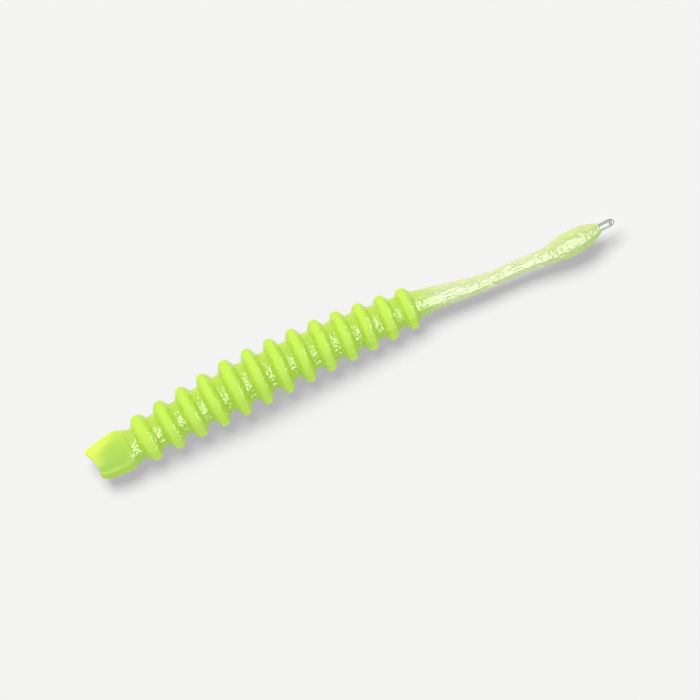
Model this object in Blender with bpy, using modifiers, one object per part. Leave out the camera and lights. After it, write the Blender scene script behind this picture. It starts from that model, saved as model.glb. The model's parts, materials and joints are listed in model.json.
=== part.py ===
"""A ribbed soft plastic worm, a fishing lure, fifty millimetres long, lying on a flat surface.

The real lure is a single soft moulding that bends at its narrow necks, so the model is cut there:
a flat head, thirteen ring segments, six lengths of thin tail, the swollen tail bulb, and the small
nub that the mould leaves on it. Every cut but the last is a hinge. +X runs from head to tail, +Z is
up, and the worm rests on z = 0 with its length centred on the origin.

A station is a distance in millimetres from the nose, measured along X.
"""

import math

import bmesh
import bpy
from mathutils import Matrix, Vector

MM = 0.001
NAME = "soft_plastic_worm"

# Length and resting place
LENGTH = 50.0
MIDDLE_STATION = 24.8093
CENTRE_Y = 0.2472

# Rings, counted from the head
RINGS = 13
ROOT_RING = 7
BELLY_RING = 5
FIRST_RING = 5.15
FIRST_PITCH = 2.235
LAST_PITCH = 1.975
BELLY_RADIUS = 2.65
CREST_LOSS_HEADWARD = 0.46
CREST_LOSS_TAILWARD = 0.75
CORE_RADIUS = 1.78
CORE_LOSS_HEADWARD = 0.31
CORE_LOSS_TAILWARD = 0.4
GROOVE_SHARE = 0.53
LOBE_POWER = 2.4
CREST_LAND = 0.18
FLANK_STEPS = (0.93, 0.78, 0.5)

# Tail
TAIL_LINKS = 6
TAIL_START = 31.55
BULB_START = 43.4
BULB_MIDDLE = 46.1
BULB_RADIUS = 1.11
BULB_END = 48.35
BULB_END_RADIUS = 0.34
BULB_STEPS = 8
TAIL_RADII = (
    (TAIL_START, 1.22),
    (33.2, 1.04),
    (35.6, 0.88),
    (37.6, 0.74),
    (39.2, 0.66),
    (41.8, 0.7),
    (BULB_START, 0.79),
    (45.0, 1.06),
    (BULB_MIDDLE, BULB_RADIUS),
    (47.3, 0.97),
    (48.1, 0.65),
)

# The nub: its outline as (distance from its start, radius) pairs
NUB_OUTLINE = ((0.0, 0.34), (0.55, 0.37), (1.07, 0.33), (1.28, 0.2), (1.35, 0.0))

# Head: station, half width, half thickness, squareness of the section
NECK = 4.05
NECK_RADIUS = 1.5
HEAD_SECTIONS = (
    (0.0, 1.38, 0.54, 7.0),
    (0.45, 1.56, 0.6, 7.0),
    (1.1, 1.73, 0.66, 6.0),
    (1.9, 1.83, 0.76, 5.0),
    (2.6, 1.9, 0.91, 4.0),
    (3.1, 1.83, 1.13, 3.0),
    (3.45, 1.68, 1.34, 2.3),
)
NOSE_LIP = 0.12
LIP_START = 0.33
HEAD_HEIGHT = 1.72

# Heights of the centre line past the last ring, where the tail hangs clear of the ground
TAIL_HEIGHTS = ((35.0, 1.78), (40.0, 1.84), (44.0, 2.0), (BULB_MIDDLE, 2.1), (LENGTH, 2.25))

# The bow in plan: how far each stretch lies to the side, and where it starts and is full
BODY_BOW = 1.24
BODY_BOW_END = 22.0
HEAD_BOW = 0.22
HEAD_BOW_END = 4.4
TAIL_BOWS = ((-0.79, 31.0, 38.5), (-0.13, 40.5, 43.5), (-0.2, 38.5, 46.0), (0.29, 43.3, 47.8))

# How far the rings lean in plan from square to the centre line, as (station, degrees) pairs
LEANS = (
    (0.0, 0.5),
    (4.0, 3.6),
    (8.0, 3.0),
    (14.0, 2.0),
    (25.5, 2.0),
    (29.0, -1.6),
    (31.0, -1.6),
    (33.5, 0.0),
)

# Joints between the pieces
GAP = 0.3
BODY_BEND = math.radians(18)
TAIL_BEND = math.radians(24)

# Colours of the plastic
BODY_GREEN = (0.62, 0.9, 0.07)
TAIL_GREEN = (0.7, 0.93, 0.35)
CLEAR_GREY = (0.72, 0.76, 0.7)

# Facets round each turned piece, and round the head
SIDES = 24
HALF_FACET = math.pi / SIDES


def through(knots, at):
    """The value at one place on a smooth curve through (place, value) knots."""
    last = len(knots) - 1
    at = min(max(at, knots[0][0]), knots[last][0])
    i = 0
    while i < last - 1 and at > knots[i + 1][0]:
        i += 1
    (a, va), (b, vb) = knots[i], knots[i + 1]
    before = knots[max(i - 1, 0)]
    after = knots[min(i + 2, last)]
    slope_a = (vb - before[1]) / (b - before[0])
    slope_b = (after[1] - va) / (after[0] - a)
    span = b - a
    t = (at - a) / span
    rise = va + (vb - va) * t * t * (3 - 2 * t)
    return rise + span * t * (1 - t) * (slope_a * (1 - t) - slope_b * t)


def ease(share):
    """A smooth step from 0 to 1."""
    share = min(max(share, 0.0), 1.0)
    return share * share * (3 - 2 * share)


def ring_station(ring):
    """Where a ring's crest is. The pitch shrinks evenly from the head to the tail."""
    shrink = (FIRST_PITCH - LAST_PITCH) / (RINGS - 2)
    steps = ring - 1
    return FIRST_RING + FIRST_PITCH * steps - shrink * steps * (steps - 1) / 2


def from_belly(ring):
    """How far a ring is from the belly: 1 at the last ring, and -1 at the first."""
    side = RINGS - BELLY_RING if ring > BELLY_RING else BELLY_RING - 1
    return (ring - BELLY_RING) / side


def crest_radius(ring):
    """The rings are largest at the belly and shrink both ways."""
    away = from_belly(ring)
    if away > 0:
        return BELLY_RADIUS - CREST_LOSS_TAILWARD * away**1.7
    return BELLY_RADIUS + CREST_LOSS_HEADWARD * away


def core_radius(ring):
    """The groove floor beside a ring; a whole number and a half is the groove between two rings."""
    away = from_belly(ring)
    if away > 0:
        return CORE_RADIUS - CORE_LOSS_TAILWARD * away**1.6
    return CORE_RADIUS - CORE_LOSS_HEADWARD * (-away) ** 0.8


def cuts():
    """The hinge stations, from the neck to the start of the bulb."""
    grooves = []
    for ring in range(1, RINGS):
        here, there = ring_station(ring), ring_station(ring + 1)
        grooves.append(here + GROOVE_SHARE * (there - here))
    link = (BULB_START - TAIL_START) / TAIL_LINKS
    tail = [TAIL_START + link * i for i in range(TAIL_LINKS + 1)]
    return [NECK, *grooves, *tail]


def height_knots():
    """Heights of the centre line: the rings touch the ground, and the tail hangs just above it."""
    touching = math.cos(HALF_FACET)
    rings = [(ring_station(r), crest_radius(r) * touching) for r in range(1, RINGS + 1)]
    return [(0.0, HEAD_HEIGHT), *rings, *TAIL_HEIGHTS]


def sideways(station):
    """The worm's gentle bow in plan: the head and the tail both lie to one side of the body."""
    body = BODY_BOW * max(0.0, 1 - station / BODY_BOW_END) ** 1.6
    head = HEAD_BOW * max(0.0, 1 - station / HEAD_BOW_END)
    tail = sum(bow * ease((station - start) / (full - start)) for bow, start, full in TAIL_BOWS)
    return CENTRE_Y - body - head + tail


def centre(station):
    """A point on the centre line, in metres."""
    height = through(height_knots(), station)
    return Vector((station - MIDDLE_STATION, sideways(station), height)) * MM


def frame_at(station, turn=0.0):
    """A matrix on the centre line: Z along the worm, X up and Y to its right, turned about Z."""
    step = 0.2
    along = (centre(station + step) - centre(station - step)).normalized()
    along.rotate(Matrix.Rotation(math.radians(through(LEANS, station)), 3, "Z"))
    side = Vector((0, 0, 1)).cross(along).normalized()
    up = along.cross(side)
    x_axis = up * math.cos(turn) + side * math.sin(turn)
    matrix = Matrix((x_axis, along.cross(x_axis), along)).transposed().to_4x4()
    matrix.translation = centre(station)
    return matrix


def set_back(radius, bend=BODY_BEND):
    """How far a piece's rim stays from the hinge, so that neighbours can bend to the limit."""
    return GAP / 2 + radius * math.tan(bend / 2)


def soft_plastic(name, colour, roughness):
    """A glossy, slightly see-through moulded plastic."""
    material = bpy.data.materials.new(name)
    material.use_nodes = True
    shader = material.node_tree.nodes["Principled BSDF"]
    shader.inputs["Base Color"].default_value = (*colour, 1)
    shader.inputs["Roughness"].default_value = roughness
    shader.inputs["Metallic"].default_value = 0.0
    return material


def add_object(name, mesh, colour, collection, roughness=0.2):
    """Puts a mesh in the scene as a named piece with its own material."""
    piece = bpy.data.objects.new(name, mesh)
    mesh.materials.append(soft_plastic(name + "_plastic", colour, roughness))
    collection.objects.link(piece)
    return piece


def turned(name, profile, station, colour, collection):
    """Turns an outline of (station, radius) points, given from tail to head, about the worm's axis."""
    mesh = bpy.data.meshes.new(name)
    shape = bmesh.new()
    points = [shape.verts.new((radius * MM, 0, (at - station) * MM)) for at, radius in profile]
    for one, two in zip(points, points[1:]):
        shape.edges.new((one, two))
    shape.to_mesh(mesh)
    shape.free()
    piece = add_object(name, mesh, colour, collection)
    screw = piece.modifiers.new("turn", "SCREW")
    screw.axis = "Z"
    screw.steps = SIDES
    screw.render_steps = SIDES
    screw.use_merge_vertices = True
    screw.merge_threshold = 1e-6
    screw.use_smooth_shade = False
    return piece


def ring_piece(ring, start, end, colour, collection):
    """One ring with half a groove on each side: a rounded crest on a core."""
    crest = ring_station(ring)
    outline = [(end - GAP / 2, 0.0)]
    for side, edge, core in (
        (1, end, core_radius(ring + 0.5)),
        (-1, start, core_radius(ring - 0.5)),
    ):
        core = {NECK: NECK_RADIUS, TAIL_START: TAIL_RADII[0][1]}.get(edge, core)
        reach = abs(edge - crest) - set_back(core)
        flank = []
        for share in (1.0, *FLANK_STEPS, CREST_LAND):
            rise = (1 - share**LOBE_POWER) ** (1 / LOBE_POWER) if share > CREST_LAND else 1.0
            radius = core + (crest_radius(ring) - core) * rise
            flank.append((crest + side * reach * share, radius))
        outline += flank[::side]
    outline.append((start + GAP / 2, 0.0))
    return turned(f"ring_{ring:02d}", outline, crest, colour, collection)


def tail_piece(link, start, end, colour, collection):
    """A short length of the tapering tail."""
    bend = BODY_BEND if link == 1 else TAIL_BEND
    low = start + set_back(through(TAIL_RADII, start), bend)
    high = end - set_back(through(TAIL_RADII, end), TAIL_BEND)
    outline = [(at, through(TAIL_RADII, at)) for at in (high, (start + end) / 2, low)]
    outline = [(end - GAP / 2, 0.0), *outline, (start + GAP / 2, 0.0)]
    return turned(f"tail_{link:02d}", outline, (start + end) / 2, colour, collection)


def bulb_piece(colour, collection):
    """The teardrop swelling near the end of the tail, with a small flat where the nub begins."""
    start = BULB_START + set_back(through(TAIL_RADII, BULB_START), TAIL_BEND)
    full = TAIL_RADII[-1][0]
    outline = [(BULB_END, 0.0), (BULB_END, BULB_END_RADIUS)]
    for i in range(BULB_STEPS):
        at = full + (start - full) * i / (BULB_STEPS - 1)
        outline.append((at, through(TAIL_RADII, at)))
    outline.append((BULB_START + GAP / 2, 0.0))
    return turned("tail_bulb", outline, BULB_MIDDLE, colour, collection)


def nub_piece(colour, collection):
    """The clear little stub at the very tip, where the mould was filled."""
    start = BULB_END + GAP
    outline = [(start + along, radius) for along, radius in reversed(NUB_OUTLINE)]
    outline.append((start, 0.0))
    return turned("tip_nub", outline, start, colour, collection)


def section(half_width, half_height, squareness):
    """A rounded rectangle as (across, up) pairs, the same above and below the middle."""
    points = []
    for i in range(SIDES):
        angle = 2 * math.pi * i / SIDES + HALF_FACET
        cosine = math.cos(angle)
        cornered = math.copysign(abs(cosine) ** (2 / squareness), cosine)
        even = math.asin(cosine) * 2 / math.pi
        share = (cornered + even) / 2
        up = (1 - abs(share) ** squareness) ** (1 / squareness)
        points.append((share * half_width, math.copysign(up, math.sin(angle)) * half_height))
    return points


def head_piece(colour, collection):
    """A flat paddle, lofted from the round neck to the square nose."""
    rim = NECK - set_back(NECK_RADIUS)
    shapes = [*HEAD_SECTIONS, (rim, NECK_RADIUS, NECK_RADIUS, 2.0)]
    shape = bmesh.new()
    loops = []
    for at, half_width, half_height, squareness in shapes:
        place = Matrix.Translation(centre(at)) @ frame_at(NECK / 2).to_3x3().to_4x4()
        loop = []
        for across, up in section(half_width, half_height, squareness):
            lip = max(0.0, (across / half_width - LIP_START) / (1 - LIP_START))
            ahead = NOSE_LIP * lip if at == 0 else 0.0
            loop.append(shape.verts.new(place @ (Vector((up, -across, -ahead)) * MM)))
        loops.append(loop)
    for one, two in zip(loops, loops[1:]):
        for i in range(SIDES):
            j = (i + 1) % SIDES
            shape.faces.new((one[i], one[j], two[j], two[i]))
    nose = loops[0]
    for i in range(SIDES // 2 - 1):
        shape.faces.new((nose[i], nose[-1 - i], nose[-2 - i], nose[i + 1]))
    middle = shape.verts.new(centre(NECK - GAP / 2))
    neck = loops[-1]
    for i in range(SIDES):
        shape.faces.new((neck[i], neck[(i + 1) % SIDES], middle))
    bmesh.ops.recalc_face_normals(shape, faces=shape.faces)
    mesh = bpy.data.meshes.new("head_paddle")
    shape.to_mesh(mesh)
    shape.free()
    return add_object("head_paddle", mesh, colour, collection)


def add_pivot(number, station, parent, collection):
    """An empty on a hinge, hanging from the hinge before it."""
    pivot = bpy.data.objects.new(f"pivot_{number:02d}", None)
    pivot.empty_display_size = MM
    collection.objects.link(pivot)
    hang(pivot, Matrix.Translation(centre(station)), parent)
    return pivot


def hang(thing, world, parent):
    """Places a thing in the world and ties it to its parent pivot."""
    thing.parent = parent
    thing.matrix_basis = parent.matrix_world.inverted() @ world if parent else world
    bpy.context.view_layer.update()


def shade(piece):
    """Smooth shading, broken at the sharp edges."""
    piece.data.shade_smooth()
    piece.data.set_sharp_from_angle(angle=math.radians(35))


def main():
    for old in list(bpy.data.objects):
        bpy.data.objects.remove(old, do_unlink=True)
    collection = bpy.data.collections.new(NAME)
    bpy.context.scene.collection.children.link(collection)

    hinges = cuts()
    pieces = [head_piece(BODY_GREEN, collection)]
    places = [Matrix.Identity(4)]
    for ring in range(1, RINGS + 1):
        start, end = hinges[ring - 1], hinges[ring]
        pieces.append(ring_piece(ring, start, end, BODY_GREEN, collection))
        places.append(frame_at(ring_station(ring), HALF_FACET))
    for link in range(1, TAIL_LINKS + 1):
        start, end = hinges[RINGS + link - 1], hinges[RINGS + link]
        pieces.append(tail_piece(link, start, end, TAIL_GREEN, collection))
        places.append(frame_at((start + end) / 2, HALF_FACET))
    pieces.append(bulb_piece(TAIL_GREEN, collection))
    places.append(frame_at(BULB_MIDDLE, HALF_FACET))

    pivots = {ROOT_RING: None}
    for i in range(ROOT_RING + 1, len(pieces)):
        pivots[i] = add_pivot(i, hinges[i - 1], pivots[i - 1], collection)
    for i in range(ROOT_RING - 1, -1, -1):
        pivots[i] = add_pivot(i, hinges[i], pivots[i + 1], collection)
    for i, (piece, place) in enumerate(zip(pieces, places)):
        hang(piece, place, pivots[i])
        shade(piece)

    nub = nub_piece(CLEAR_GREY, collection)
    hang(nub, frame_at(BULB_END + GAP, HALF_FACET), pivots[len(pieces) - 1])
    shade(nub)


if __name__ == "__main__":
    main()
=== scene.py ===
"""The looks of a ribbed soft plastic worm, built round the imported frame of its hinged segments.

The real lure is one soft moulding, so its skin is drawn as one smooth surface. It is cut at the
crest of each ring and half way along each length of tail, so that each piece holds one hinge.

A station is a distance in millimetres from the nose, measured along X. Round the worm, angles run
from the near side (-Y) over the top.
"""

import json
import math

import bmesh
import bpy
from mathutils import Matrix, Vector, noise

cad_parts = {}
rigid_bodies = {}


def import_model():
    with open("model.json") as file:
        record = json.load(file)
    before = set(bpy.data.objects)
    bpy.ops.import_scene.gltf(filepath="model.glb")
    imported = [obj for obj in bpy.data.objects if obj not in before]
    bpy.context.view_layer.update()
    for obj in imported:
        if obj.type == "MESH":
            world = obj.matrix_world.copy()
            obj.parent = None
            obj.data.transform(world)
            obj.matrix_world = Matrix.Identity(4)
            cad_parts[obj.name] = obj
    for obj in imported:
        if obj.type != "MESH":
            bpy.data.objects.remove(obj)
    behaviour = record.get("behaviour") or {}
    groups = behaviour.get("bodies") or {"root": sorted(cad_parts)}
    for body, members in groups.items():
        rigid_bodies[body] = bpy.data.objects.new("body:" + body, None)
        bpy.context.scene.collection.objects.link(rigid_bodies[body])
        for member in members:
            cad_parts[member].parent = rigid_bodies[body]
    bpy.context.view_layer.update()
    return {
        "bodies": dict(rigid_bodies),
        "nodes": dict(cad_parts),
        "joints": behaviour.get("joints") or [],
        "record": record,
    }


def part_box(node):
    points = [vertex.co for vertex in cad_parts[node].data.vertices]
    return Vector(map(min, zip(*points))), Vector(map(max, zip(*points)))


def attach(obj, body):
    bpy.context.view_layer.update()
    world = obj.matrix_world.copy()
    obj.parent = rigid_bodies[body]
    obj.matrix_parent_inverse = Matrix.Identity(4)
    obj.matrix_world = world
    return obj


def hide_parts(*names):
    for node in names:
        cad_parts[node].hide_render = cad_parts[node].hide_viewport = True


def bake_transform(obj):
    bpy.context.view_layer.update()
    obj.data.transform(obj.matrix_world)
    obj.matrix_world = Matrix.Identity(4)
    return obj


MM = 0.001

# The worm's outline, as (station, radius) pairs: the core that the rings stand on, then the tail
NECK = 4.05
CORE = (
    (4.05, 1.48),
    (6.3, 1.52),
    (10.6, 1.65),
    (13.0, 1.76),
    (15.0, 1.79),
    (18.0, 1.71),
    (23.4, 1.68),
    (25.5, 1.61),
    (29.4, 1.43),
    (31.55, 1.22),
    (33.2, 1.04),
    (35.6, 0.88),
    (37.6, 0.74),
    (39.2, 0.67),
    (41.8, 0.7),
    (43.4, 0.79),
    (45.0, 1.06),
    (46.1, 1.11),
    (47.3, 0.96),
    (48.1, 0.66),
    (48.6, 0.4),
)
SKIN_END = 48.6

# Rings: half the flat floor of the groove between two of them, and the shape of their sides.
# A ring's rim is the part of it past this share of its radius
RINGS = 13
GROOVE_FLOOR = 0.29
CREST_POWER = 2.9
FOOT_POWER = 1.5
RIM_SHARE = 0.98

# The thin tail's lengths between hinges
TAIL_LENGTHS = 6

# Head: station, half width, half thickness, squareness of the section
HEAD = (
    (0.0, 1.38, 0.54, 7.0),
    (0.45, 1.57, 0.6, 7.0),
    (1.1, 1.74, 0.66, 6.0),
    (1.9, 1.84, 0.76, 5.0),
    (2.6, 1.93, 0.91, 4.0),
    (3.1, 1.86, 1.13, 3.0),
    (3.6, 1.64, 1.38, 2.25),
    (4.05, 1.48, 1.48, 2.0),
)

# How much squarer than round the head's section is where its points are spread fully evenly
EVEN_SPAN = 1.5

# The nose: its rounded edge, and how far its end lies back across the head, as a curve that fades
# out along the head. The end of the frame's head reaches this deep
NOSE_ROUNDING = 0.12
NOSE_BACK = 0.17
NOSE_SLANT = 0.21
NOSE_HOLLOW = -0.14
NOSE_FADE = 1.2
NOSE_DEPTH = 0.55

# The mould's parting line: its angle above the near side, as (station, degrees) pairs
PARTING = ((0.0, 42.0), (4.0, 34.0), (8.0, 20.0), (24.0, 20.0), (30.0, 36.0), (48.0, 40.0))
RIDGE_HEIGHT = 0.045
RIDGE_WIDTH = 0.07
RIDGE_STEPS = (0.0, 0.6, 1.2, 1.8, 2.6)

# Unevenness of the moulded surface: its height, and how many marks there are a millimetre
RIPPLE = 0.008
RIPPLE_SCALE = 0.8
PUCKER = 0.05
PUCKER_SCALE = 4.2
STREAK = 0.026
STREAK_SCALE = (1.4, 3.4, 3.4)

# Mesh steps, and the step over which the centre line's direction is taken
STEPS_BETWEEN_RIDGES = 40
STEP = 0.08
SLOPE_STEP = 0.3

# The share of the way from a hinge to a skin's end, and the longest such way, at which the centre
# line is looked up on each side of the hinge
BEND_SHARE = 0.9
BEND_WAY = 1.1

# The numbers painted on the skin's points, which its material reads: painted light and shade,
# painted light in far edges, matteness and thinness
PAINTED = ("light_and_shade", "edge", "matte", "thin")

# Where the head's painted light and shade begin to give way to the body's, and where its matte
# surface ends
HEAD_FADE = 2.2
HEAD_MATTE_END = 3.6
HEAD_MATTE_FADE = 0.5

# How high on a ring's side its surface turns matte
MATTE_FROM = 0.78
MATTE_FULL = 0.985

# How far a groove's painted shade goes back towards the yellow lit colour, and how far round the
# head, towards its far side, its painted light begins and how slowly it grows
GROOVE_LIGHT = 0.45
PADDLE_FROM = 0.2
PADDLE_SPREAD = 0.9

# Painted light gathered in far edges: its strength in the grooves, the length and the weight of the
# nose's painted glowing corner, and how far round each edge begins and how slowly it grows
GROOVE_EDGE = 0.7
CORNER_LENGTH = 2.8
CORNER_WEIGHT = 0.6
CORNER_FROM = 0.75
TAIL_EDGE_FROM = 0.35
EDGE_SPREAD = 0.5

# Where the plastic turns thin and pale, and where it turns thicker again in the bulb
THIN_START = 30.2
THIN_END = 34.6
BULB_START = 42.5
BULB_FULL = 45.5
BULB_THIN = 0.7

# The clear stub at the tip, and the last station that has a direction of its own
NUB_SIDES = 32
NUB_TURN_END = 49.0
NUB = (
    (48.15, 0.0),
    (48.2, 0.25),
    (48.6, 0.34),
    (49.2, 0.37),
    (49.7, 0.33),
    (49.92, 0.2),
    (49.99, 0.07),
    (50.0, 0.0),
)

# Colours of the plastic: lit, in painted shade (in the grooves and on the head's near side), with
# painted light on far edges, the pale tail and the clear stub; then a painted glow for the light
# that its fluorescent dye gives back
LIT_COLOUR = (0.63, 0.87, 0.075, 1)
PAINTED_SHADE_COLOUR = (0.4, 0.6, 0.09, 1)
EDGE_LIGHT_COLOUR = (0.84, 0.93, 0.12, 1)
TAIL_COLOUR = (0.7, 0.83, 0.45, 1)
TAIL_EDGE_LIGHT_COLOUR = (1.0, 1.0, 0.6, 1)
STUB_COLOUR = (0.5, 0.56, 0.48, 1)
# A painted glow, even all over: it stands for the light of the fluorescent dye and also lifts the
# shaded sides
BODY_PAINTED_GLOW = (0.045, 0.12, 0.005, 1)
TAIL_PAINTED_GLOW = (0.055, 0.075, 0.02, 1)

# The plastic's surface
PLASTIC_IOR = 1.47
TRANSLUCENCY = 0.1
BODY_CLEARNESS = 0.14
TAIL_CLEARNESS = 0.5
STUB_CLEARNESS = 0.95
GLOSSY_ROUGHNESS = 0.12
MATTE_ROUGHNESS = 0.85
TAIL_ROUGHNESS = 0.3
STUB_ROUGHNESS = 0.03

# Its fine wrinkles: their depth, how much of it shows in each place, and how many there are a
# metre. The tail's are stretched into dashes along it
WRINKLE_DEPTH = 0.2
GROOVE_WRINKLES = 1.0
CREST_WRINKLES = 0.04
TAIL_WRINKLES = 0.9
WRINKLE_DETAIL = 1.5
DIMPLE_SCALE = 2900.0
DASH_SCALE = 3200.0
DASH_STRETCH = (0.3, 1, 1)

# The paper floor
PAPER_COLOUR = (0.9, 0.9, 0.885, 1)
PAPER_HALF_SIZE = 3.0

# Colour of the room, and its brightness as it lights the floor and as it shows in the plastic
ROOM_COLOUR = (0.98, 0.98, 1.0, 1)
SKY_LIGHT = 0.49
SKY_SEEN = 0.85

# Camera
VIEW_HEIGHT = math.radians(67)
VIEW_ROLL = math.radians(24.88)
VIEW_WIDTH = 61.1 * MM
VIEW_RIGHT = -0.26 * MM
VIEW_UP = -0.35 * MM
VIEW_DISTANCE = 0.8
SENSOR = 36.0


def through(knots, at):
    """The value at one place on a smooth curve through (place, value) knots."""
    last = len(knots) - 1
    at = min(max(at, knots[0][0]), knots[last][0])
    i = 0
    while i < last - 1 and at > knots[i + 1][0]:
        i += 1
    (a, va), (b, vb) = knots[i], knots[i + 1]
    before = knots[max(i - 1, 0)]
    after = knots[min(i + 2, last)]
    slope_a = (vb - before[1]) / (b - before[0])
    slope_b = (after[1] - va) / (after[0] - a)
    span = b - a
    t = (at - a) / span
    rise = va + (vb - va) * t * t * (3 - 2 * t)
    return rise + span * t * (1 - t) * (slope_a * (1 - t) - slope_b * t)


def ease(share):
    """A smooth step from 0 to 1."""
    share = min(max(share, 0.0), 1.0)
    return share * share * (3 - 2 * share)


class Spine:
    """The worm's centre line and its rings, read from the frame's hinges and pieces."""

    def __init__(self, frame):
        joints = sorted(frame["joints"], key=lambda joint: joint["name"])
        self.hinges = [Vector(joint["pos_m"]) for joint in joints]
        self.start = self.hinges[0].x - NECK * MM
        nodes = frame["nodes"]
        crests = [self.crest(nodes[f"ring_{ring:02d}"]) for ring in range(1, RINGS + 1)]
        low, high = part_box("tip_nub")
        points = [self.nose(nodes["head_paddle"]), *self.hinges, (low + high) / 2]
        points += [middle for middle, radius, turn in crests]
        points.sort(key=lambda point: point.x)
        self.ys = [(self.station(point), point.y) for point in points]
        self.zs = [(self.station(point), point.z) for point in points]
        self.rings = [(self.station(middle), radius / MM) for middle, radius, turn in crests]
        self.cuts = [self.station(hinge) for hinge in self.hinges]
        self.turns = [(0.0, self.heading(0.0))]
        self.turns += [(self.station(middle), turn) for middle, radius, turn in crests]
        self.turns += [(cut, self.heading(cut)) for cut in self.cuts[RINGS + 1 :]]

    def station(self, point):
        """How far along the worm a point is."""
        return (point.x - self.start) / MM

    @staticmethod
    def crest(node):
        """The middle and the radius of a ring's widest part, and its turn in plan away from X."""
        low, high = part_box(node.name)
        middle = (low + high) / 2
        radius = (high.z - low.z) / 2
        rim = []
        for vertex in node.data.vertices:
            if math.hypot(vertex.co.y - middle.y, vertex.co.z - middle.z) > RIM_SHARE * radius:
                rim.append(vertex.co)
        middle.x = sum(point.x for point in rim) / len(rim)
        lean = sum((point.x - middle.x) * (middle.y - point.y) for point in rim)
        spread = sum((point.y - middle.y) ** 2 for point in rim)
        return middle, radius, math.atan(lean / spread)

    @staticmethod
    def nose(head):
        """The middle of the flat end of the nose."""
        tip = min(vertex.co.x for vertex in head.data.vertices)
        rim = [vertex.co for vertex in head.data.vertices if vertex.co.x < tip + NOSE_DEPTH * MM]
        return sum(rim, Vector((0, 0, 0))) / len(rim)

    def centre(self, station):
        """The point of the centre line at a station."""
        x = self.start + station * MM
        return Vector((x, through(self.ys, station), through(self.zs, station)))

    def along(self, station):
        """The centre line's direction."""
        before = self.centre(max(station - SLOPE_STEP, 0.0))
        return (self.centre(station + SLOPE_STEP) - before).normalized()

    def heading(self, station):
        """The centre line's turn in plan away from X, in radians."""
        along = self.along(station)
        return math.atan2(along.y, along.x)

    def axes(self, station):
        """Unit vectors to the worm's near side and up, across its length."""
        turn = through(self.turns, station)
        near = Vector((math.sin(turn), -math.cos(turn), 0))
        return near, near.cross(self.along(station)).normalized()

    def crest_share(self, station):
        """How far up a ring's side a station is: 0 on a groove's floor and 1 on a crest."""
        ring = min(range(RINGS), key=lambda i: abs(self.rings[i][0] - station))
        crest = self.rings[ring][0]
        cut = self.cuts[ring + 1] if station > crest else self.cuts[ring]
        share = abs(station - crest) / (abs(cut - crest) - GROOVE_FLOOR)
        return ring, max(0.0, 1 - share**CREST_POWER) ** FOOT_POWER if share < 1 else 0.0

    def radius(self, station):
        """The radius of the core, with the rings on it."""
        core = through(CORE, station)
        ring, share = self.crest_share(station)
        return core + (self.rings[ring][1] - core) * share


def angles(radius):
    """Angles round the worm, in degrees from the parting line, and the width of its ridge."""
    width = math.degrees(RIDGE_WIDTH / radius)
    ridge_side = [width * step for step in RIDGE_STEPS]
    start = ridge_side[-1]
    span = 180 - 2 * start
    middle = [start + span * i / STEPS_BETWEEN_RIDGES for i in range(1, STEPS_BETWEEN_RIDGES)]
    half = ridge_side + middle + [180 - side for side in reversed(ridge_side[1:])]
    return half + [180 + angle for angle in half], width


def head_point(station, angle, inset):
    """Across and up on the head, for an angle round it and a distance in from its edge."""
    half_width, half_height, squareness = (
        through([(row[0], row[column]) for row in HEAD], station) for column in (1, 2, 3)
    )
    half_width -= inset
    half_height -= inset
    cosine = math.cos(angle)
    cornered = math.copysign(abs(cosine) ** (2 / squareness), cosine)
    flatness = ease((squareness - 2) / EVEN_SPAN)
    share = cosine + (0.5 * cornered + math.asin(cosine) / math.pi - cosine) * flatness
    up = (1 - abs(share) ** squareness) ** (1 / squareness)
    return share * half_width, math.copysign(up, math.sin(angle)) * half_height


def skin_point(spine, station, degrees, inset=0.0, scale=1.0):
    """A point of the moulded surface, before its unevenness."""
    angle = math.radians(degrees + through(PARTING, station))
    near, up = spine.axes(station)
    point = spine.centre(station)
    if station < NECK:
        across, rise = (scale * part for part in head_point(station, angle, inset))
        back = NOSE_BACK + NOSE_SLANT * across + NOSE_HOLLOW * across**2
        point.x += back * max(0.0, 1 - station / NOSE_FADE) ** 2 * MM
    else:
        radius = spine.radius(station)
        across, rise = radius * math.cos(angle), radius * math.sin(angle)
    return point + (near * across + up * rise) * MM


def ridge(degrees, width):
    """The height of the parting line's ridge at an angle from it."""
    away = min(abs((degrees - side + 180) % 360 - 180) for side in (0, 180))
    return RIDGE_HEIGHT * math.exp(-((away / width) ** 2))


def unevenness(point, groove, thin):
    """Small hollows and swellings: puckers on the groove floors and long streaks on the tail."""
    spot = point / MM
    slow = noise.noise(spot * RIPPLE_SCALE)
    fine = noise.noise(spot * PUCKER_SCALE)
    streak = noise.noise(Vector([part * scale for part, scale in zip(spot, STREAK_SCALE)]))
    return RIPPLE * slow + PUCKER * groove * fine + STREAK * thin * streak


def thinness(station):
    """How thin and pale the plastic is, from 0 in the body to 1 in the tail."""
    tail = ease((station - THIN_START) / (THIN_END - THIN_START))
    bulb = ease((station - BULB_START) / (BULB_FULL - BULB_START))
    return tail * (1 - (1 - BULB_THIN) * bulb)


def far_share(station, degrees):
    """How far round from the near side a point is: 0 there, 0.5 at the top and 1 on the far side."""
    if degrees > 180:
        return 0.0
    return (1 - math.cos(math.radians(degrees + through(PARTING, station)))) / 2


def painted_light_and_shade(degrees, far, ring_share, head):
    """How far the plastic is painted towards its lit yellow: most on the crests, with painted shade
    in the grooves, and on the head painted light towards its far side and painted shade on its near
    side.
    """
    ring = GROOVE_LIGHT + (1 - GROOVE_LIGHT) * ring_share
    paddle = GROOVE_LIGHT if degrees > 180 else ease((far - PADDLE_FROM) / PADDLE_SPREAD)
    return ring + (paddle - ring) * head


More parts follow.
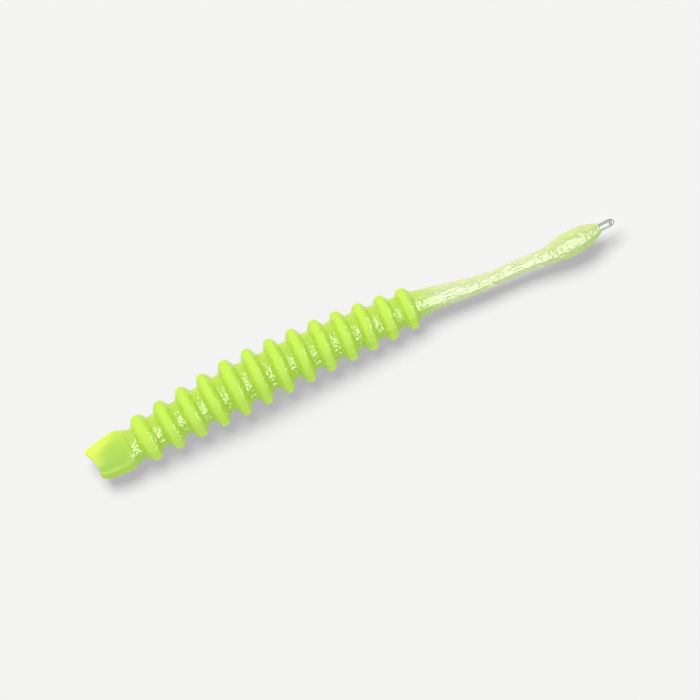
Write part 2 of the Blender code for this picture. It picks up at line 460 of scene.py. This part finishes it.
def painted_edge_light(station, far, ring_share, head, thin):
    """How much painted light gathers in the far edge: in the grooves, the nose's corner and the
    tail.
    """
    groove = GROOVE_EDGE * (1 - ring_share) * far**3
    towards_nose = CORNER_WEIGHT * (1 - station / CORNER_LENGTH)
    corner = ease((far + towards_nose - CORNER_FROM) / EDGE_SPREAD) if far > 0 else 0.0
    edge = groove + (corner - groove) * head
    return edge + (ease((far - TAIL_EDGE_FROM) / EDGE_SPREAD) - edge) * thin


def stations_between(start, end):
    """Rows of the skin's mesh: station, inset from its edge, and scale."""
    steps = max(2, round((end - start) / STEP))
    return [(start + (end - start) * i / steps, 0.0, 1.0) for i in range(steps + 1)]


def nose_rows():
    """The rows of the nose's end, from its middle out and round its edge."""
    flat = [(0.0, NOSE_ROUNDING, scale) for scale in (0.0, 0.2, 0.4, 0.6, 0.8)]
    edge = []
    for turn in range(0, 90, 18):
        sine, cosine = math.sin(math.radians(turn)), math.cos(math.radians(turn))
        edge.append((NOSE_ROUNDING * (1 - cosine), NOSE_ROUNDING * (1 - sine), 1.0))
    return flat + edge


def join_loops(shape, one, two):
    """Faces between two loops of points. Either loop may be a single point."""
    count = max(len(one), len(two))
    for i in range(count):
        j = (i + 1) % count
        corners = (one[i % len(one)], two[i % len(two)], two[j % len(two)], one[j % len(one)])
        shape.faces.new(dict.fromkeys(corners))


def skin_loop(shape, layers, spine, row):
    """One row of the skin's points, with the numbers that its material reads."""
    station, inset, scale = row
    middle = spine.centre(station)
    head = 1 - ease((station - HEAD_FADE) / (NECK - HEAD_FADE))
    ring_share = spine.crest_share(station)[1] if station > NECK else 0.0
    matte = ease((ring_share - MATTE_FROM) / (MATTE_FULL - MATTE_FROM))
    matte = max(matte, ease((HEAD_MATTE_END - station) / HEAD_MATTE_FADE))
    thin = thinness(station)
    groove = (1 - ring_share) * (1 - head)
    turns, width = angles(spine.radius(max(station, NECK)))
    loop = []
    for degrees in turns if scale else turns[:1]:
        point = skin_point(spine, station, degrees, inset, scale)
        out = (point - middle).normalized()
        height = 0.0
        if scale == 1:
            height = ridge(degrees, width) + unevenness(point, groove, thin)
        vert = shape.verts.new(point + out * height * MM)
        far = far_share(station, degrees)
        # Painted light and shade: lit on the crests and the head's far side, shaded in the grooves
        # and on the head's near side
        vert[layers["light_and_shade"]] = painted_light_and_shade(degrees, far, ring_share, head)
        # Painted light in the far edges
        vert[layers["edge"]] = painted_edge_light(station, far, ring_share, head, thin)
        vert[layers["matte"]] = matte
        vert[layers["thin"]] = thin
        loop.append(vert)
    return loop


def build_skin(spine, name, rows):
    """One length of the worm's skin. It is open at both ends, but for a row of no size.

    The shading at an open end is taken with the next row in place, so that no seam shows.
    """
    first, last = rows[0], rows[-1]
    before = [(first[0] - STEP, 0.0, 1.0)] if first[2] else []
    after = [(last[0] + STEP, 0.0, 1.0)] if last[0] < SKIN_END else []
    shape = bmesh.new()
    layers = {key: shape.verts.layers.float.new(key) for key in PAINTED}
    loops = [skin_loop(shape, layers, spine, row) for row in before + rows + after]
    for one, two in zip(loops, loops[1:]):
        join_loops(shape, one, two)
    shape.normal_update()
    spare = [vert for loop in loops[: len(before)] for vert in loop]
    spare += [vert for loop in loops[len(before) + len(rows) :] for vert in loop]
    kept = loops[len(before) : len(before) + len(rows)]
    normals = [vert.normal.copy() for loop in kept for vert in loop]
    bmesh.ops.delete(shape, geom=spare, context="VERTS")
    mesh = bpy.data.meshes.new(name)
    shape.to_mesh(mesh)
    shape.free()
    mesh.shade_smooth()
    mesh.normals_split_custom_set_from_vertices(normals)
    skin = bpy.data.objects.new(name, mesh)
    bpy.context.scene.collection.objects.link(skin)
    return skin


def value_of(tree, name):
    """A number painted on the skin's points."""
    node = tree.nodes.new("ShaderNodeAttribute")
    node.attribute_name = name
    return node.outputs["Fac"]


def mix(tree, factor, one, two, kind="RGBA"):
    """A blend between two colours or numbers, which may be plain or come from nodes."""
    node = tree.nodes.new("ShaderNodeMix")
    node.data_type = kind
    sockets = [socket for socket in node.inputs if socket.enabled]
    for socket, source in zip(sockets, (factor, one, two)):
        if isinstance(source, bpy.types.NodeSocket):
            tree.links.new(source, socket)
        else:
            socket.default_value = source
    return next(socket for socket in node.outputs if socket.enabled)


def spots(tree, scale, stretch=(1, 1, 1)):
    """Soft noise fixed to the object. Scale is in marks a metre."""
    mapping = tree.nodes.new("ShaderNodeMapping")
    mapping.inputs["Scale"].default_value = stretch
    place = tree.nodes.new("ShaderNodeTexCoord").outputs["Object"]
    tree.links.new(place, mapping.inputs["Vector"])
    node = tree.nodes.new("ShaderNodeTexNoise")
    node.inputs["Scale"].default_value = scale
    node.inputs["Detail"].default_value = WRINKLE_DETAIL
    tree.links.new(mapping.outputs["Vector"], node.inputs["Vector"])
    return node.outputs["Fac"]


def wrinkles(tree, matte, thin):
    """Fine wrinkles: dimples on the body, almost none on the crests, and long dashes on the tail."""
    bump = tree.nodes.new("ShaderNodeBump")
    bump.inputs["Distance"].default_value = WRINKLE_DEPTH * MM
    body = mix(tree, matte, GROOVE_WRINKLES, CREST_WRINKLES, "FLOAT")
    tree.links.new(mix(tree, thin, body, TAIL_WRINKLES, "FLOAT"), bump.inputs["Strength"])
    dimples = spots(tree, DIMPLE_SCALE)
    dashes = spots(tree, DASH_SCALE, DASH_STRETCH)
    tree.links.new(mix(tree, thin, dimples, dashes, "FLOAT"), bump.inputs["Height"])
    return bump.outputs["Normal"]


def let_light_through(tree, colour):
    """Mix a little translucency into the material's shader."""
    glow = tree.nodes.new("ShaderNodeBsdfTranslucent")
    tree.links.new(colour, glow.inputs["Color"])
    blend = tree.nodes.new("ShaderNodeMixShader")
    blend.inputs["Fac"].default_value = TRANSLUCENCY
    tree.links.new(tree.nodes["Principled BSDF"].outputs["BSDF"], blend.inputs[1])
    tree.links.new(glow.outputs["BSDF"], blend.inputs[2])
    tree.links.new(blend.outputs["Shader"], tree.nodes["Material Output"].inputs["Surface"])


def soft_plastic():
    """Fluorescent soft plastic: glossy, but matte and painted lit yellow on the crests, with painted
    shade in the grooves, painted light on far edges and a painted glow, and pale in the tail.
    """
    material = bpy.data.materials.new("worm_plastic")
    material.use_nodes = True
    tree = material.node_tree
    shader = tree.nodes["Principled BSDF"]
    light_and_shade, edge, matte, thin = (value_of(tree, name) for name in PAINTED)
    # The lit colour, with painted shade in the grooves and on the head's near side, then painted
    # light in the far edges
    body = mix(tree, edge, mix(tree, light_and_shade, PAINTED_SHADE_COLOUR, LIT_COLOUR), EDGE_LIGHT_COLOUR)
    # The pale tail, with painted light on its far edge
    tail = mix(tree, edge, TAIL_COLOUR, TAIL_EDGE_LIGHT_COLOUR)
    colour = mix(tree, thin, body, tail)
    body_roughness = mix(tree, matte, GLOSSY_ROUGHNESS, MATTE_ROUGHNESS, "FLOAT")
    sockets = {
        "Base Color": colour,
        "Transmission Weight": mix(tree, thin, BODY_CLEARNESS, TAIL_CLEARNESS, "FLOAT"),
        "Roughness": mix(tree, thin, body_roughness, TAIL_ROUGHNESS, "FLOAT"),
        # Painted glow
        "Emission Color": mix(tree, thin, BODY_PAINTED_GLOW, TAIL_PAINTED_GLOW),
        "Normal": wrinkles(tree, matte, thin),
    }
    for name, source in sockets.items():
        tree.links.new(source, shader.inputs[name])
    shader.inputs["IOR"].default_value = PLASTIC_IOR
    shader.inputs["Emission Strength"].default_value = 1.0
    let_light_through(tree, colour)
    return material


def clear_plastic():
    """The nearly colourless plastic of the stub."""
    material = bpy.data.materials.new("nub_plastic")
    material.use_nodes = True
    shader = material.node_tree.nodes["Principled BSDF"]
    shader.inputs["Base Color"].default_value = STUB_COLOUR
    shader.inputs["Roughness"].default_value = STUB_ROUGHNESS
    shader.inputs["Transmission Weight"].default_value = STUB_CLEARNESS
    return material


def add_skins(spine):
    """The worm's skin, in lengths that each hold one hinge."""
    nodes = [
        "head_paddle",
        *[f"ring_{i:02d}" for i in range(1, RINGS + 1)],
        *[f"tail_{i:02d}" for i in range(1, TAIL_LENGTHS + 1)],
    ]
    cuts = spine.cuts
    seams = [0.0, *[station for station, radius in spine.rings]]
    seams += [(a + b) / 2 for a, b in zip(cuts[RINGS:], cuts[RINGS + 1 :])]
    seams.append(SKIN_END)
    material = soft_plastic()
    for i, (start, end) in enumerate(zip(seams, seams[1:])):
        if i == 0:
            rows = nose_rows() + stations_between(NOSE_ROUNDING, end)
        else:
            rows = stations_between(start, end)
        skin = build_skin(spine, f"skin_{i + 1:02d}", rows)
        skin.visible_diffuse = False
        skin.data.materials.append(material)
        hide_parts(nodes[i])
        hinge = cuts[i]
        reach = BEND_SHARE * min(hinge - start, end - hinge, BEND_WAY)
        spine.centre(hinge - reach)
        spine.centre(hinge + reach)
        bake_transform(skin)
    # The last length covers the bulb as well as the tail before it
    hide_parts("tail_bulb")


def add_nub(spine):
    """The short clear stub at the tip."""
    mesh = bpy.data.meshes.new("tip_stub")
    shape = bmesh.new()
    loops = []
    for station, radius in NUB:
        near, up = spine.axes(min(station, NUB_TURN_END))
        middle = spine.centre(station)
        if radius == 0.0:
            loops.append([shape.verts.new(middle)])
            continue
        loop = []
        for i in range(NUB_SIDES):
            angle = 2 * math.pi * i / NUB_SIDES
            out = near * math.cos(angle) + up * math.sin(angle)
            loop.append(shape.verts.new(middle + out * radius * MM))
        loops.append(loop)
    for one, two in zip(loops, loops[1:]):
        join_loops(shape, one, two)
    shape.to_mesh(mesh)
    shape.free()
    mesh.shade_smooth()
    nub = bpy.data.objects.new("tip_stub", mesh)
    bpy.context.scene.collection.objects.link(nub)
    nub.data.materials.append(clear_plastic())
    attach(nub, "tail_end")
    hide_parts("tip_nub")


def add_floor():
    """A wide plain sheet of pale paper."""
    mesh = bpy.data.meshes.new("floor")
    size = PAPER_HALF_SIZE
    corners = [(-size, -size, 0), (size, -size, 0), (size, size, 0), (-size, size, 0)]
    mesh.from_pydata(corners, [], [(0, 1, 2, 3)])
    floor = bpy.data.objects.new("floor", mesh)
    bpy.context.scene.collection.objects.link(floor)
    material = bpy.data.materials.new("floor_paper")
    material.use_nodes = True
    shader = material.node_tree.nodes["Principled BSDF"]
    shader.inputs["Base Color"].default_value = PAPER_COLOUR
    shader.inputs["Roughness"].default_value = 1.0
    shader.inputs["Specular IOR Level"].default_value = 0.0
    floor.data.materials.append(material)


def add_camera():
    """The camera, looking down at the worm from its near side, and rolled."""
    right = Vector((1, 0, 0))
    back = Vector((0, -math.cos(VIEW_HEIGHT), math.sin(VIEW_HEIGHT)))
    up = back.cross(right)
    cosine, sine = math.cos(VIEW_ROLL), math.sin(VIEW_ROLL)
    image_right = right * cosine - up * sine
    image_up = right * sine + up * cosine
    data = bpy.data.cameras.new("camera")
    data.sensor_width = SENSOR
    data.lens = SENSOR * VIEW_DISTANCE / VIEW_WIDTH
    data.clip_start = 0.01
    data.clip_end = 20.0
    camera = bpy.data.objects.new("camera", data)
    bpy.context.scene.collection.objects.link(camera)
    place = Matrix((image_right, image_up, back)).transposed().to_4x4()
    place.translation = image_right * VIEW_RIGHT + image_up * VIEW_UP + back * VIEW_DISTANCE
    camera.matrix_world = place
    bpy.context.scene.camera = camera


def direction(azimuth, height):
    """A direction given in degrees: azimuth from +X towards +Y, and height above the floor."""
    a, h = math.radians(azimuth), math.radians(height)
    return Vector((math.cos(a) * math.cos(h), math.sin(a) * math.cos(h), math.sin(h)))


def add_sun(name, azimuth, height, strength, softness):
    """A distant light. Softness is its width in degrees."""
    data = bpy.data.lights.new(name, "SUN")
    data.energy = strength
    data.angle = math.radians(softness)
    sun = bpy.data.objects.new(name, data)
    bpy.context.scene.collection.objects.link(sun)
    sun.rotation_euler = direction(azimuth, height).to_track_quat("Z", "Y").to_euler()
    return sun


def add_softbox(name, azimuth, height, distance, width, tall, power):
    """A soft light that shows only as a reflection."""
    data = bpy.data.lights.new(name, "AREA")
    data.shape = "RECTANGLE"
    data.size = width
    data.size_y = tall
    data.energy = power
    box = bpy.data.objects.new(name, data)
    bpy.context.scene.collection.objects.link(box)
    towards = direction(azimuth, height)
    box.location = towards * distance
    box.rotation_euler = towards.to_track_quat("Z", "Y").to_euler()
    box.visible_diffuse = False
    box.visible_transmission = False


def add_world():
    """Even light from all round. What shows in and through the plastic is a brighter white room."""
    world = bpy.data.worlds.new("studio")
    world.use_nodes = True
    tree = world.node_tree
    sky = tree.nodes["Background"]
    sky.inputs["Color"].default_value = ROOM_COLOUR
    path = tree.nodes.new("ShaderNodeLightPath")
    seen = tree.nodes.new("ShaderNodeMath")
    seen.operation = "MAXIMUM"
    tree.links.new(path.outputs["Is Transmission Ray"], seen.inputs[0])
    tree.links.new(path.outputs["Is Glossy Ray"], seen.inputs[1])
    strength = mix(tree, seen.outputs["Value"], SKY_LIGHT, SKY_SEEN, "FLOAT")
    tree.links.new(strength, sky.inputs["Strength"])
    bpy.context.scene.world = world


def add_light():
    """The room, a soft key from behind, and two softboxes for the highlights."""
    add_world()
    key = add_sun("key", azimuth=105, height=72, strength=1.72, softness=40)
    key.visible_glossy = False
    add_softbox("window", azimuth=-90, height=54, distance=0.4, width=0.34, tall=0.5, power=6.5)
    add_softbox("side", azimuth=-16, height=14, distance=0.4, width=0.34, tall=0.1, power=2.4)


def main():
    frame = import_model()
    spine = Spine(frame)
    add_skins(spine)
    add_nub(spine)
    add_floor()
    add_camera()
    add_light()
    bpy.context.scene.view_settings.view_transform = "Standard"


main()
